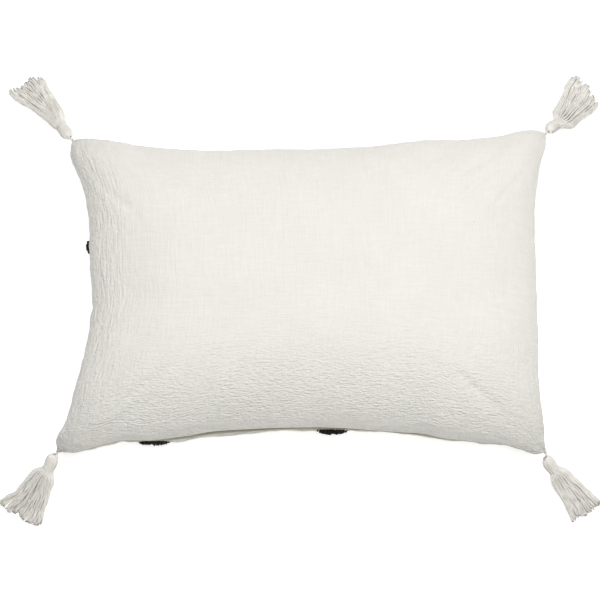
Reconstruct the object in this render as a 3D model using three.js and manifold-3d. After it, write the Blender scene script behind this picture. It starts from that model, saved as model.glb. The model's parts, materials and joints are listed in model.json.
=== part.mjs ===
// A stuffed rectangular throw pillow with a tassel at each corner, lying flat with its tufted front
// face down. Units are millimetres. +X is to the right, +Y is away from the zipped edge and +Z is up.
// The origin is on the floor, in the middle of the flat patch that the pillow rests on.
//
// The cover is two cloth panels that meet at a seam half way up, with a concealed zip in the -Y seam.
// It holds a separate stuffed insert. Black yarn tufts go through slots in the front panel.
// Each tassel hangs on a short cord from its corner, and slopes down until its skirt lies on the floor.

import * as THREE from "three";
import { mergeVertices } from "three/addons/utils/BufferGeometryUtils.js";
import Module from "manifold-3d";

const wasm = await Module();
wasm.setup();

// ---------------------------------------------------------------- driving dimensions

// Cut size of the cloth between the seams: a 24 x 16 inch cover.
const CLOTH_WIDTH = 610;
const CLOTH_HEIGHT = 406;

// Where the side seams meet once the cover is full, seen from above.
const CORNER = {
  top_left: new THREE.Vector2(-285, 194),
  top_right: new THREE.Vector2(297, 202),
  bottom_left: new THREE.Vector2(-298, -193),
  bottom_right: new THREE.Vector2(292.5, -193),
};

// Each side pulls in by `sag` along its length, fully so from `from` to `to` on a scale of -1 to 1.
const SIDE = {
  top: { sag: 17, from: -0.58, to: 0.12 },
  bottom: { sag: 27, from: -0.56, to: 0.53 },
  left: { sag: 34, from: -0.08, to: 0.15 },
  right: { sag: 17, from: 0.2, to: 0.45 },
};

const SEAM_HEIGHT = 66;
const CORNER_DROOP = 20;
const DROOP_FROM = 0.6; // the seam is level up to this share of each half side
const BACK_RISE = 74; // from the seam up to the crown
const FRONT_DROP = 73; // from the seam down, were there no floor
const PUFF_STEEP = 0.42; // how steeply the section leaves the seam: lower is steeper
const PUFF_FLAT = { across: 4, up: 3 }; // how flat its middle is, across the width and up the height
const CLOTH = 1.2;
const TICKING = 0.8;
const SEAM_GAP = 0.2; // half of what is left between two layers that meet
const INSERT_INSET = 14; // how far the insert's seam lies inside the cover's
const INSERT_CLEARANCE = 7;
const INSERT_FLOOR = 5.6;
const FILLING_GAP = 0.8;

// Concealed coil zip, running along X in the bottom seam.
const ZIP = {
  centre: -5,
  half: 155, // a 12 inch zip
  lip: 1.6, // half of the groove between the two cloth lips
  tapeWidth: 11,
  tapeThickness: 0.5,
  tapeLean: THREE.MathUtils.degToRad(10.5), // the tapes lie along the inside of the panels
  coil: 1.8,
  coilGap: 0.9, // half of what is left between the two coils, where the slider's neck runs
  stop: 3,
};
const SLIDER = { length: 9, neck: 1.2, capWidth: 5.2, capDepth: 2.2, plateWidth: 7.2, plate: 0.8 };
const BRIDGE = { length: 7, width: 1.2, thickness: 0.7, room: 1.9 };
const PULL = {
  bar: 0.45,
  armGap: 1,
  arm: 0.8,
  armLength: 4.8,
  plateLength: 15,
  plateWidth: 4.4,
  thickness: 1,
};
const STOP_GAP = 0.35; // between a stop and the end of the coils

// Yarn tufts on the front face, a staggered grid of dashes laid out on the flat cloth.
const TUFT = { length: 35, width: 12, proud: 3.2, root: 3, pressed: 4.4, slotGap: 0.35 };
const TUFT_STEP = new THREE.Vector2(222, 85);
const TUFT_FIRST = new THREE.Vector2(-184, -195);
const TUFT_ROWS = 5;
const TUFT_COLUMNS = 3;
const TUFT_EDGE = 0.965; // no tuft centre lies closer to a seam than this share of the half cloth
const TUFT_CORNER = 0.7; // beyond this share both ways, the cloth is left plain

// A tassel, measured along its axis from the corner of the cover.
const TASSEL = {
  cordRadius: 1.4,
  cordStart: 1.2,
  flopAt: 5, // the head bends about the round end of the cord
  headStart: 7.2,
  headStartRadius: 2.4,
  headRadius: 7.6,
  headEnd: 23,
  neckRadius: 5,
  wrapRadius: 6.4,
  wrapEnd: 27,
  shoulder: 8, // half the skirt's width a little below the wrap
  fanHalfThickness: 7,
};
const TASSEL_GAP = 0.35;
const FLOOR_GAP = 0.4;
// Every tassel is knotted by hand: its own length, half width at the cut end, and heading in plan.
const TASSELS = {
  top_left: { length: 110, fanHalfWidth: 26, heading: THREE.MathUtils.degToRad(128) },
  top_right: { length: 96, fanHalfWidth: 27, heading: THREE.MathUtils.degToRad(50) },
  bottom_left: { length: 95, fanHalfWidth: 29, heading: THREE.MathUtils.degToRad(-124) },
  bottom_right: { length: 94, fanHalfWidth: 24, heading: THREE.MathUtils.degToRad(-52) },
};

// ---------------------------------------------------------------- materials

function cloth(color, roughness = 0.92) {
  return new THREE.MeshStandardMaterial({ color, roughness, metalness: 0 });
}

const slubCotton = cloth(0xf1eee6);
const ticking = cloth(0xf6f5f1, 0.85);
const fibre = cloth(0xfbfbf9, 0.95);
const blackYarn = cloth(0x1b1b1a, 0.95);
const cottonYarn = cloth(0xe7e3d9);
const tapeCloth = cloth(0xe9e6dd, 0.8);
const coilNylon = cloth(0xeeece4, 0.45);
const zipMetal = new THREE.MeshStandardMaterial({ color: 0xe6e3da, roughness: 0.4, metalness: 0.3 });

// ---------------------------------------------------------------- solids and booleans

function solidOf(geometry) {
  const bare = geometry.clone();
  bare.deleteAttribute("normal");
  bare.deleteAttribute("uv");
  const merged = mergeVertices(bare, 1e-4);
  const made = new wasm.Mesh({
    numProp: 3,
    vertProperties: new Float32Array(merged.attributes.position.array),
    triVerts: new Uint32Array(merged.index.array),
  });
  return new wasm.Manifold(made);
}

function geometryOf(solid) {
  const made = solid.getMesh();
  const geometry = new THREE.BufferGeometry();
  geometry.setAttribute("position", new THREE.BufferAttribute(new Float32Array(made.vertProperties), 3));
  geometry.setIndex(new THREE.BufferAttribute(new Uint32Array(made.triVerts), 1));
  geometry.computeVertexNormals();
  return geometry;
}

function joined(geometries) {
  return geometryOf(geometries.map(solidOf).reduce((all, next) => all.add(next)));
}

function box([x0, x1], [y0, y1], [z0, z1]) {
  const geometry = new THREE.BoxGeometry(x1 - x0, y1 - y0, z1 - z0);
  return geometry.translate((x0 + x1) / 2, (y0 + y1) / 2, (z0 + z1) / 2);
}

// ---------------------------------------------------------------- the stuffed form

// 0 where a side pulls in fully, growing to 1 at its ends.
function flare(t, { from, to }) {
  const away = t < from ? (from - t) / (from + 1) : Math.max(0, t - to) / (1 - to);
  return away * away * (2 - away);
}

function sidePoint(start, end, t, side, inward) {
  const pull = side.sag * (1 - flare(t, side));
  return start.clone().lerp(end, (t + 1) / 2).addScaledVector(inward, pull);
}

// The place on the plan for u across and v up, both from -1 to 1, blended from the four side seams.
function plan(u, v) {
  const { top_left, top_right, bottom_left, bottom_right } = CORNER;
  const bottom = sidePoint(bottom_left, bottom_right, u, SIDE.bottom, new THREE.Vector2(0, 1));
  const top = sidePoint(top_left, top_right, u, SIDE.top, new THREE.Vector2(0, -1));
  const left = sidePoint(bottom_left, top_left, v, SIDE.left, new THREE.Vector2(1, 0));
  const right = sidePoint(bottom_right, top_right, v, SIDE.right, new THREE.Vector2(-1, 0));
  const across = (u + 1) / 2;
  const up = (v + 1) / 2;
  const flat = bottom_left.clone().lerp(bottom_right, across);
  flat.lerp(top_left.clone().lerp(top_right, across), up);
  return bottom.lerp(top, up).add(left.lerp(right, across)).sub(flat);
}

function smoothStep(t) {
  const x = THREE.MathUtils.clamp(t, 0, 1);
  return x * x * (3 - 2 * x);
}

// The seam is level along the straight part of each side, and droops into the corners.
function seamHeight(u, v) {
  const rise = (t) => (Math.max(0, Math.abs(t) - DROOP_FROM) / (1 - DROOP_FROM)) ** 2;
  return SEAM_HEIGHT - CORNER_DROOP * rise(u) * rise(v);
}

// How far a panel's edge stands off the seam line: more where the zip's groove is.
function seamOpening(u, v) {
  const alongZip = smoothStep((0.66 - Math.abs(u)) / 0.08);
  const nearZip = smoothStep((-0.75 - v) / 0.25);
  return SEAM_GAP + (ZIP.lip - SEAM_GAP) * alongZip * nearZip;
}

// A point of one layer. `facing` is 1 for the back, which faces up, and -1 for the front.
function formPoint(u, v, facing, { inset, height, floor }) {
  const place = plan(u, v);
  const fullAcross = Math.max(0, 1 - Math.abs(u) ** PUFF_FLAT.across);
  const fullUp = Math.max(0, 1 - Math.abs(v) ** PUFF_FLAT.up);
  const puff = (fullAcross * fullUp) ** PUFF_STEEP;
  const middle = seamHeight(u * (1 - (2 * inset) / CLOTH_WIDTH), v * (1 - (2 * inset) / CLOTH_HEIGHT));
  const z = middle + facing * (seamOpening(u, v) + height * puff);
  return new THREE.Vector3(place.x - inset * u, place.y - inset * v, Math.max(z, floor));
}

// Grid lines from -1 to 1, closer together towards the seams.
function gridLines(cells) {
  return Array.from({ length: cells + 1 }, (_, i) => Math.sin((Math.PI / 2) * ((2 * i) / cells - 1)));
}

// A closed solid between two surfaces over the same grid. upper lies above lower, or meets it at the rim.
function solidBetween(upper, lower, columns, rows) {
  const us = gridLines(columns);
  const vs = gridLines(rows);
  const positions = [];
  const index = [];
  const at = (layer, i, j) => layer * us.length * vs.length + j * us.length + i;
  for (const surface of [upper, lower]) {
    vs.forEach((v) => us.forEach((u) => positions.push(...surface(u, v).toArray())));
  }
  const quad = (a, b, c, d) => index.push(a, b, c, a, c, d);
  for (let j = 0; j < rows; j++) {
    for (let i = 0; i < columns; i++) {
      quad(at(0, i, j), at(0, i + 1, j), at(0, i + 1, j + 1), at(0, i, j + 1));
      quad(at(1, i, j), at(1, i, j + 1), at(1, i + 1, j + 1), at(1, i + 1, j));
    }
  }
  for (let i = 0; i < columns; i++) {
    quad(at(0, i, 0), at(1, i, 0), at(1, i + 1, 0), at(0, i + 1, 0));
    quad(at(0, i + 1, rows), at(1, i + 1, rows), at(1, i, rows), at(0, i, rows));
  }
  for (let j = 0; j < rows; j++) {
    quad(at(0, 0, j + 1), at(1, 0, j + 1), at(1, 0, j), at(0, 0, j));
    quad(at(0, columns, j), at(1, columns, j), at(1, columns, j + 1), at(0, columns, j + 1));
  }
  const geometry = new THREE.BufferGeometry();
  geometry.setAttribute("position", new THREE.Float32BufferAttribute(positions, 3));
  geometry.setIndex(index);
  geometry.computeVertexNormals();
  return geometry;
}

// One cloth panel: the layer's own surface outside, and the same surface moved in by its thickness.
function panelGeometry(facing, layer, thickness, columns, rows) {
  const inner = {
    inset: layer.inset + thickness,
    height: layer.height - thickness,
    floor: layer.floor + thickness,
  };
  const outside = (u, v) => formPoint(u, v, facing, layer);
  const inside = (u, v) => formPoint(u, v, facing, inner);
  return facing > 0
    ? solidBetween(outside, inside, columns, rows)
    : solidBetween(inside, outside, columns, rows);
}

const backLayer = { inset: 0, height: BACK_RISE, floor: 0 };
const frontLayer = { inset: 0, height: FRONT_DROP, floor: 0 };

function insertLayer(facing, further = 0) {
  const height = (facing > 0 ? BACK_RISE : FRONT_DROP) - INSERT_CLEARANCE - further;
  return { inset: INSERT_INSET + further, height, floor: INSERT_FLOOR + further };
}

function fillingGeometry() {
  const further = TICKING + FILLING_GAP;
  const surface = (facing) => (u, v) => formPoint(u, v, facing, insertLayer(facing, further));
  return solidBetween(surface(1), surface(-1), 16, 12);
}

// ---------------------------------------------------------------- tufts

// The u and v of the cloth point that lies at (x, y) on the flat, uncut cloth.
function onCloth(place) {
  return [place.x / (CLOTH_WIDTH / 2), place.y / (CLOTH_HEIGHT / 2)].map((t) =>
    THREE.MathUtils.clamp(t, -TUFT_EDGE, TUFT_EDGE),
  );
}

// The frame of a tuft on the front panel: x along its length, z out of the cloth.
function tuftFrame(u, v) {
  const step = 0.004;
  const point = (a, b) => formPoint(a, b, -1, frontLayer);
  const centre = point(u, v);
  const along = point(u + step, v).sub(point(u - step, v)).normalize();
  const up = point(u, v + step).sub(point(u, v - step));
  const out = new THREE.Vector3().crossVectors(up, along).normalize();
  const across = new THREE.Vector3().crossVectors(out, along);
  return { centre, out, matrix: new THREE.Matrix4().makeBasis(along, across, out).setPosition(centre) };
}

function dashShape(length, width) {
  const radius = width / 2;
  const reach = length / 2 - radius;
  const shape = new THREE.Shape();
  shape.absarc(reach, 0, radius, -Math.PI / 2, Math.PI / 2, false);
  shape.absarc(-reach, 0, radius, Math.PI / 2, (3 * Math.PI) / 2, false);
  return shape;
}

// A dash-shaped block standing from `below` to `above` the cloth's outer surface.
function dashBlock(frame, grow, below, above) {
  const geometry = new THREE.ExtrudeGeometry(dashShape(TUFT.length + 2 * grow, TUFT.width + 2 * grow), {
    depth: above + below,
    bevelEnabled: false,
    curveSegments: 4,
  });
  return geometry.translate(0, 0, -below).applyMatrix4(frame.matrix);
}

// A tuft stands proud of the cloth, except where the floor presses it back into the pillow.
function tuftGeometry(frame) {
  const tilt = Math.hypot(frame.out.x, frame.out.y);
  const reach = (TUFT.width / 2) * Math.abs(frame.out.y) + (TUFT.length / 2) * Math.abs(frame.out.x);
  const room = (frame.centre.z - reach) / Math.max(0.2, Math.abs(frame.out.z));
  const proud = tilt < 0.02 ? 0 : THREE.MathUtils.clamp(room, 0.1, TUFT.proud);
  const root = proud < 1 ? TUFT.pressed - proud : TUFT.root;
  return dashBlock(frame, 0, root, proud);
}

// Whether the cloth at this place is taken up by a corner, or by the seam of the two lower rows.
function isTakenUp(place, row) {
  const [u, v] = onCloth(place);
  const inCorner = Math.min(Math.abs(u), Math.abs(v)) > TUFT_CORNER;
  const inSeam = Math.abs(u) === TUFT_EDGE && row < 2;
  return inCorner || inSeam;
}

const tufts = [];
for (let row = 0; row < TUFT_ROWS; row++) {
  for (let column = 0; column < TUFT_COLUMNS; column++) {
    const place = new THREE.Vector2(column - (row % 2) / 2, row).multiply(TUFT_STEP).add(TUFT_FIRST);
    const name = `tuft_row${row + 1}_${column + 1}`;
    if (!isTakenUp(place, row)) tufts.push({ name, frame: tuftFrame(...onCloth(place)) });
  }
}

function frontPanelGeometry() {
  const panel = solidOf(panelGeometry(-1, frontLayer, CLOTH, 24, 16));
  const reach = 8;
  const slots = tufts.map(({ frame }) => solidOf(dashBlock(frame, TUFT.slotGap, reach, reach)));
  return geometryOf(slots.reduce((left, slot) => left.subtract(slot), panel));
}

// ---------------------------------------------------------------- zip

const LIP_Y = CORNER.bottom_left.y + SIDE.bottom.sag; // outer face of the lips along the straight part
const TAPE_Y = LIP_Y + CLOTH + 0.5;
const COIL_Y = TAPE_Y + ZIP.tapeThickness + 0.3;
const OPEN_END = ZIP.centre - ZIP.half;
const CLOSED_END = ZIP.centre + ZIP.half;
const SLIDER_X = CLOSED_END - ZIP.stop - SLIDER.length / 2 - 0.5;

// `facing` is 1 for the half on the back panel and -1 for the half on the front panel.
function tapeGeometry(facing) {
  const z = [0, facing * ZIP.tapeWidth].sort((a, b) => a - b);
  const tape = box([OPEN_END, CLOSED_END], [0, ZIP.tapeThickness], z);
  tape.rotateX(-facing * ZIP.tapeLean);
  return tape.translate(0, TAPE_Y, SEAM_HEIGHT + facing * (ZIP.coilGap + 0.5));
}

function zipBlock(x, facing) {
  const near = SEAM_HEIGHT + facing * ZIP.coilGap;
  const far = near + facing * ZIP.coil;
  return box(x, [COIL_Y, COIL_Y + ZIP.coil], [Math.min(near, far), Math.max(near, far)]);
}

function bottomStopGeometry() {
  const half = ZIP.coilGap + ZIP.coil;
  const x = [OPEN_END, OPEN_END + ZIP.stop];
  return box(x, [COIL_Y, COIL_Y + ZIP.coil], [SEAM_HEIGHT - half, SEAM_HEIGHT + half]);
}

const CAP_Y = LIP_Y - 0.5; // the side of the slider's cap that faces the lips
const CAP_FACE = CAP_Y - SLIDER.capDepth;
const PIVOT_Y = CAP_FACE - BRIDGE.room / 2;

// The slider's cap runs outside the lips, a neck goes in through the groove, and the inner plate with
// its two flanges holds the coils.
function sliderGeometry() {
  const x = [-SLIDER.length / 2, SLIDER.length / 2];
  const around = (half) => [SEAM_HEIGHT - half, SEAM_HEIGHT + half];
  const plateY = COIL_Y + ZIP.coil + 0.4;
  const plateHalf = SLIDER.plateWidth / 2;
  const flange = (facing) => {
    const edge = SEAM_HEIGHT + facing * plateHalf;
    const inner = edge - facing * 0.6;
    return box(x, [COIL_Y + 0.9, plateY + 0.1], [Math.min(edge, inner), Math.max(edge, inner)]);
  };
  const post = (end) => {
    const outer = (end * BRIDGE.length) / 2;
    const inner = outer - end * 0.9;
    const y = [CAP_FACE - BRIDGE.room - BRIDGE.thickness, CAP_FACE + 0.1];
    return box([Math.min(outer, inner), Math.max(outer, inner)], y, around(BRIDGE.width / 2));
  };
  return joined([
    box(x, [CAP_FACE, CAP_Y], around(SLIDER.capWidth / 2)),
    box(x, [CAP_Y - 0.1, plateY + 0.1], around(SLIDER.neck / 2)),
    box(x, [plateY, plateY + SLIDER.plate], around(plateHalf)),
    flange(1),
    flange(-1),
    post(1),
    post(-1),
    box(
      [-BRIDGE.length / 2, BRIDGE.length / 2],
      [CAP_FACE - BRIDGE.room - BRIDGE.thickness, CAP_FACE - BRIDGE.room],
      around(BRIDGE.width / 2),
    ),
  ]);
}

// The pull's cross bar lies under the slider's bridge. Two arms lead from it to a round-ended plate.
function pullGeometry() {
  const half = PULL.thickness / 2;
  const outer = PULL.armGap + PULL.arm;
  const bar = new THREE.CylinderGeometry(PULL.bar, PULL.bar, 2 * outer, 12).rotateX(Math.PI / 2);
  const arm = (facing) => {
    const z = [facing * PULL.armGap, facing * outer].sort((a, b) => a - b);
    return box([-PULL.bar, PULL.armLength + 0.2], [-PULL.bar, PULL.bar], z);
  };
  const plate = new THREE.ExtrudeGeometry(dashShape(PULL.plateLength, PULL.plateWidth), {
    depth: PULL.thickness,
    bevelEnabled: false,
    curveSegments: 8,
  });
  plate.rotateX(Math.PI / 2).translate(PULL.armLength + PULL.plateLength / 2 - 0.6, half, 0);
  const root = box([PULL.armLength - 0.2, PULL.armLength + 2], [-half, half], [-outer, outer]);
  return joined([bar, arm(1), arm(-1), root, plate]);
}

// ---------------------------------------------------------------- tassels

// A solid turned about X from (place along X, radius) pairs.
function turned(profile, segments = 12) {
  const points = profile.map(([along, radius]) => new THREE.Vector2(radius, along));
  return new THREE.LatheGeometry(points, segments).rotateZ(-Math.PI / 2);
}

// The cord comes out of the corner seam and goes through the fold of the tassel's yarn.
function cordGeometry() {
  const { cordStart, flopAt, cordRadius } = TASSEL;
  const roundEnd = [0, 30, 60, 90].map((degrees) => {
    const turn = THREE.MathUtils.degToRad(degrees);
    return [flopAt + cordRadius * Math.sin(turn), cordRadius * Math.cos(turn)];
  });
  roundEnd[3][1] = 0;
  return turned([[cordStart, 0], [cordStart, cordRadius], ...roundEnd], 8);
}

// Half the thickness of the yarn at a place on the tassel's axis: round head, tied neck, skirt.
function yarnProfile(length) {
  const { headStart, headStartRadius, headEnd, headRadius, neckRadius } = TASSEL;
  const head = [0.12, 0.3, 0.5, 0.7, 0.88].map((t) => {
    const radius = headRadius * Math.sin(Math.PI * t) ** 0.5;
    return [headStart + (headEnd - headStart) * t, t < 0.2 ? radius : Math.max(neckRadius, radius)];
  });
  const skirtLength = length - TASSEL.wrapEnd;
  const skirt = [0.1, 0.3, 0.6, 1].map((t) => {
    const fall = (TASSEL.fanHalfThickness - TASSEL.shoulder) * t;
    return [TASSEL.wrapEnd + skirtLength * t, TASSEL.shoulder + fall];
  });
  const neck = [headEnd, TASSEL.wrapEnd + TASSEL_GAP].map((along) => [along, neckRadius]);
  return [[headStart, 0], [headStart, headStartRadius], ...head, ...neck, ...skirt, [length, 0]];
}

// The yarn is folded over the cord, tied at the neck, and cut. Its skirt fans out sideways.
function yarnGeometry({ length, fanHalfWidth }) {
  const yarn = turned(yarnProfile(length), 14);
  const position = yarn.attributes.position;
  const skirtStart = TASSEL.wrapEnd + 0.1 * (length - TASSEL.wrapEnd);
  for (let i = 0; i < position.count; i++) {
    const t = THREE.MathUtils.clamp((position.getX(i) - skirtStart) / (length - skirtStart), 0, 1);
    const width = TASSEL.shoulder + (fanHalfWidth - TASSEL.shoulder) * t;
    const thickness = TASSEL.shoulder + (TASSEL.fanHalfThickness - TASSEL.shoulder) * t;
    position.setY(i, (position.getY(i) * width) / thickness);
  }
  yarn.computeVertexNormals();
  return yarn;
}

function wrapGeometry() {
  const inner = TASSEL.neckRadius + TASSEL_GAP;
  const start = TASSEL.headEnd + TASSEL_GAP;
  const end = TASSEL.wrapEnd;
  const outer = TASSEL.wrapRadius;
  return turned([[start, inner], [start, outer], [end, outer], [end, inner], [start, inner]]);
}

// How steeply a tassel slopes down from its corner so that its cut end just clears the floor.
function slopeOf({ length }) {
  const drop = SEAM_HEIGHT - CORNER_DROOP - TASSEL.fanHalfThickness - FLOOR_GAP;
  return Math.asin(drop / length);
}

// ---------------------------------------------------------------- assembly

const pillow = new THREE.Group();
pillow.name = "throw_pillow";

function addPart(name, geometry, material, parent = pillow) {
  const mesh = new THREE.Mesh(geometry, material);
  mesh.name = name;
  parent.add(mesh);
  return mesh;
}

addPart("back_panel", panelGeometry(1, backLayer, CLOTH, 24, 16), slubCotton);
addPart("front_panel", frontPanelGeometry(), slubCotton);
addPart("insert_shell_back", panelGeometry(1, insertLayer(1), TICKING, 16, 12), ticking);
addPart("insert_shell_front", panelGeometry(-1, insertLayer(-1), TICKING, 16, 12), ticking);
addPart("insert_filling", fillingGeometry(), fibre);

for (const { name, frame } of tufts) addPart(name, tuftGeometry(frame), blackYarn);

for (const [panel, facing] of [["back", 1], ["front", -1]]) {
  const coil = [OPEN_END + ZIP.stop + STOP_GAP, CLOSED_END - ZIP.stop - STOP_GAP];
  addPart(`zip_tape_${panel}`, tapeGeometry(facing), tapeCloth);
  addPart(`zip_coil_${panel}`, zipBlock(coil, facing), coilNylon);
  addPart(`zip_top_stop_${panel}`, zipBlock([CLOSED_END - ZIP.stop, CLOSED_END], facing), zipMetal);
}
addPart("zip_bottom_stop", bottomStopGeometry(), zipMetal);
addPart("zip_slider", sliderGeometry(), zipMetal).position.setX(SLIDER_X);
addPart("zip_pull", pullGeometry(), zipMetal).position.set(SLIDER_X, PIVOT_Y, SEAM_HEIGHT);

for (const [corner, place] of Object.entries(CORNER)) {
  const own = TASSELS[corner];
  const heading = new THREE.Group();
  heading.position.set(place.x, place.y, SEAM_HEIGHT - CORNER_DROOP);
  heading.rotation.z = own.heading;
  const tassel = new THREE.Group();
  tassel.rotation.y = slopeOf(own);
  heading.add(tassel);
  pillow.add(heading);
  addPart(`${corner}_tassel_cord`, cordGeometry(), cottonYarn, tassel);
  addPart(`${corner}_tassel_yarn`, yarnGeometry(own), cottonYarn, tassel);
  addPart(`${corner}_tassel_wrap`, wrapGeometry(), cottonYarn, tassel);
}

export default pillow;
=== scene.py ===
"""A cream slub-cotton lumbar pillow lying on its tufted front, with a yarn tassel at each corner.

Shapes are worked out in millimetres, in the frame's axes, and turned into metres when a mesh is made.
"""

import json
import math

import bpy
import numpy as np
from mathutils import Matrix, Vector


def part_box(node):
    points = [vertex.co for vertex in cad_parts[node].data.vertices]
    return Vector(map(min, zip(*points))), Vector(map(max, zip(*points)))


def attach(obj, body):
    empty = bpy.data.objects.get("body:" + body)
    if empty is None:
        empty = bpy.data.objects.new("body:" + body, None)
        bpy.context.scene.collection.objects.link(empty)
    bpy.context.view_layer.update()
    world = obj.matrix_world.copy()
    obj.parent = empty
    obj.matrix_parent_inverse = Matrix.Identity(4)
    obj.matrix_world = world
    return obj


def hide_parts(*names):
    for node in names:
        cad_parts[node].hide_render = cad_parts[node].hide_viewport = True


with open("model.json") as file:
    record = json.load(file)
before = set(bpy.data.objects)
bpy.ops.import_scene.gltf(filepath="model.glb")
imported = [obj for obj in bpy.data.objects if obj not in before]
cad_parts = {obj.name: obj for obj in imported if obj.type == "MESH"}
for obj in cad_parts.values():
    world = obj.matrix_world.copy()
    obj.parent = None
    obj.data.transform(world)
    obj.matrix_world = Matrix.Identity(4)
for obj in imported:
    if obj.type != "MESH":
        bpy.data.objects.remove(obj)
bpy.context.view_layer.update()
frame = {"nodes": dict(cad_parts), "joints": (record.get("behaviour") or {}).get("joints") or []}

MM = 0.001
UP, DOWN = 1, -1  # which way a layer faces
CORNERS = ("top_left", "top_right", "bottom_left", "bottom_right")

# ---- camera, light and floor

TARGET = Vector((-0.0049, -0.0062, 0.046))
CAMERA_DISTANCE = 4.0
CAMERA_ELEVATION = math.radians(80)
VIEW_WIDTH = 0.732  # metres across the picture at the target

KEY_FROM = Vector((0.1, 0.11, 0.98))
KEY_DISTANCE = 3.0
KEY_SIZE = 2.2
KEY_SHARE = 0.975
SKY_SHARE = 0.12
FLOOR_GLOW = 0.5
FLOOR_SIZE = 24


def make_camera():
    data = bpy.data.cameras.new("camera")
    data.lens = data.sensor_width * CAMERA_DISTANCE / VIEW_WIDTH
    camera = bpy.data.objects.new("camera", data)
    back = Vector((0, -math.cos(CAMERA_ELEVATION), math.sin(CAMERA_ELEVATION)))
    camera.location = TARGET + back * CAMERA_DISTANCE
    camera.rotation_euler = (-back).to_track_quat("-Z", "Y").to_euler()
    bpy.context.scene.collection.objects.link(camera)
    bpy.context.scene.camera = camera


def make_lights():
    """Each light's share is about how much of full white it alone gives a white floor."""
    direction = KEY_FROM.normalized()
    data = bpy.data.lights.new("key", "AREA")
    data.shape = "DISK"
    data.size = KEY_SIZE
    data.energy = KEY_SHARE * math.pi ** 2 * KEY_DISTANCE ** 2 / direction.z
    key = bpy.data.objects.new("key", data)
    key.location = TARGET + direction * KEY_DISTANCE
    key.rotation_euler = (-direction).to_track_quat("-Z", "Y").to_euler()
    bpy.context.scene.collection.objects.link(key)
    world = bpy.data.worlds.new("sky")
    world.use_nodes = True
    world.node_tree.nodes["Background"].inputs["Color"].default_value = (1, 1, 1, 1)
    world.node_tree.nodes["Background"].inputs["Strength"].default_value = SKY_SHARE
    bpy.context.scene.world = world
    bpy.context.scene.view_settings.view_transform = "Standard"


make_camera()
make_lights()

# ---- what the frame says

JOINTS = {joint["name"]: joint for joint in frame["joints"]}


def mm(point):
    return np.array(point, float) / MM


def node_points(node):
    """The vertices of a CAD node, in millimetres."""
    return np.array([mm(vertex.co) for vertex in frame["nodes"][node].data.vertices])


def node_box(node):
    low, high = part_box(node)
    return mm(low), mm(high)


CORNER = {name: mm(JOINTS[name + "_cord_swing"]["pos_m"]) for name in CORNERS}
SEAM_Z = node_box("front_panel")[1][2] + 0.2
DROOP = SEAM_Z - CORNER["top_left"][2]
DROOP_FROM = 0.6  # how far along a side, from its middle to its end, the seam starts to droop
# How far each panel's middle is from the seam. The front has more than the seam's height, so it rests
# flat on the floor.
RISE = {UP: node_box("back_panel")[1][2] - SEAM_Z, DOWN: 73}
CLOTH = 1.2
FLAT = np.array([610, 406])  # the size that each panel was cut to
ZIP_LOW = node_box("zip_tape_back")[0]

# ---- the pillow's form

# How far each seam pulls in from the straight line between its corners: (place along it, millimetres).
SEAM_SIDES = {
    "left": [
        (-1, 0), (-0.93, -1), (-0.84, 7.5), (-0.6, 20), (-0.35, 31), (-0.2, 34.5), (-0.1, 36.5),
        (0, 34.5), (0.1, 31.5), (0.21, 30), (0.45, 26.5), (0.68, 16.5), (0.77, 9.5), (0.865, 1.2),
        (0.95, -1), (1, 0),
    ],
    "right": [
        (-1, 0), (-0.94, 2), (-0.84, 3.5), (-0.7, 7.5), (-0.57, 10), (-0.35, 10.2), (-0.1, 12),
        (0.15, 13.6), (0.48, 15), (0.68, 11.5), (0.8, 7), (0.89, 1.5), (1, 0),
    ],
    "top": [
        (-1, 0), (-0.95, 0), (-0.876, 2.8), (-0.79, 8), (-0.7, 15.4), (-0.57, 19), (-0.43, 22),
        (-0.2, 20.8), (0.1, 21.2), (0.25, 19), (0.38, 14.5), (0.47, 11.8), (0.62, 13.5), (0.72, 10.6),
        (0.8, 8), (0.885, 0), (0.96, -2.8), (1, 0),
    ],
    "bottom": [
        (-1, 0), (-0.916, -0.6), (-0.834, 5), (-0.75, 10.8), (-0.61, 11.3), (-0.46, 16.7), (-0.38, 21),
        (-0.25, 24), (-0.1, 26), (0.16, 26), (0.32, 22.4), (0.41, 20.7), (0.49, 19), (0.57, 14),
        (0.654, 11.6), (0.74, 8.9), (0.82, 7.5), (0.9, 2), (0.96, -3), (1, 0),
    ],
}
# The insert lies behind the zip, so its lower side is pulled in along the zip's whole length.
INSERT_SIDES = {**SEAM_SIDES, "bottom": [(-1, 0), (-0.6, 27), (0, 27), (0.6, 27), (1, 0)]}
# How far the front panel bulges out past the back panel, just under the lower seam: (x, millimetres).
FRONT_PROUD = [
    (-215, 0), (-175, 1), (-150, 5), (-126, 5.5), (-100, 7), (-60, 5.5), (-30, 3), (-5, 2.2), (30, 2.4),
    (70, 0), (93, -1.2), (117, 0.8), (141, 1.4), (166, 0.5), (200, 0),
]


def smooth_step(t):
    t = np.clip(t, 0, 1)
    return t * t * (3 - 2 * t)


def curve_through(points, t):
    """A smooth curve through (place, value) points."""
    x, y = np.array(points, float).T
    slope = np.gradient(y, x)
    i = np.clip(np.searchsorted(x, t) - 1, 0, len(x) - 2)
    step = x[i + 1] - x[i]
    k = np.clip((t - x[i]) / step, 0, 1)
    from_start = y[i] * (1 + 2 * k) * (1 - k) ** 2 + slope[i] * step * k * (1 - k) ** 2
    to_end = y[i + 1] * k * k * (3 - 2 * k) + slope[i + 1] * step * k * k * (k - 1)
    return from_start + to_end


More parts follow.
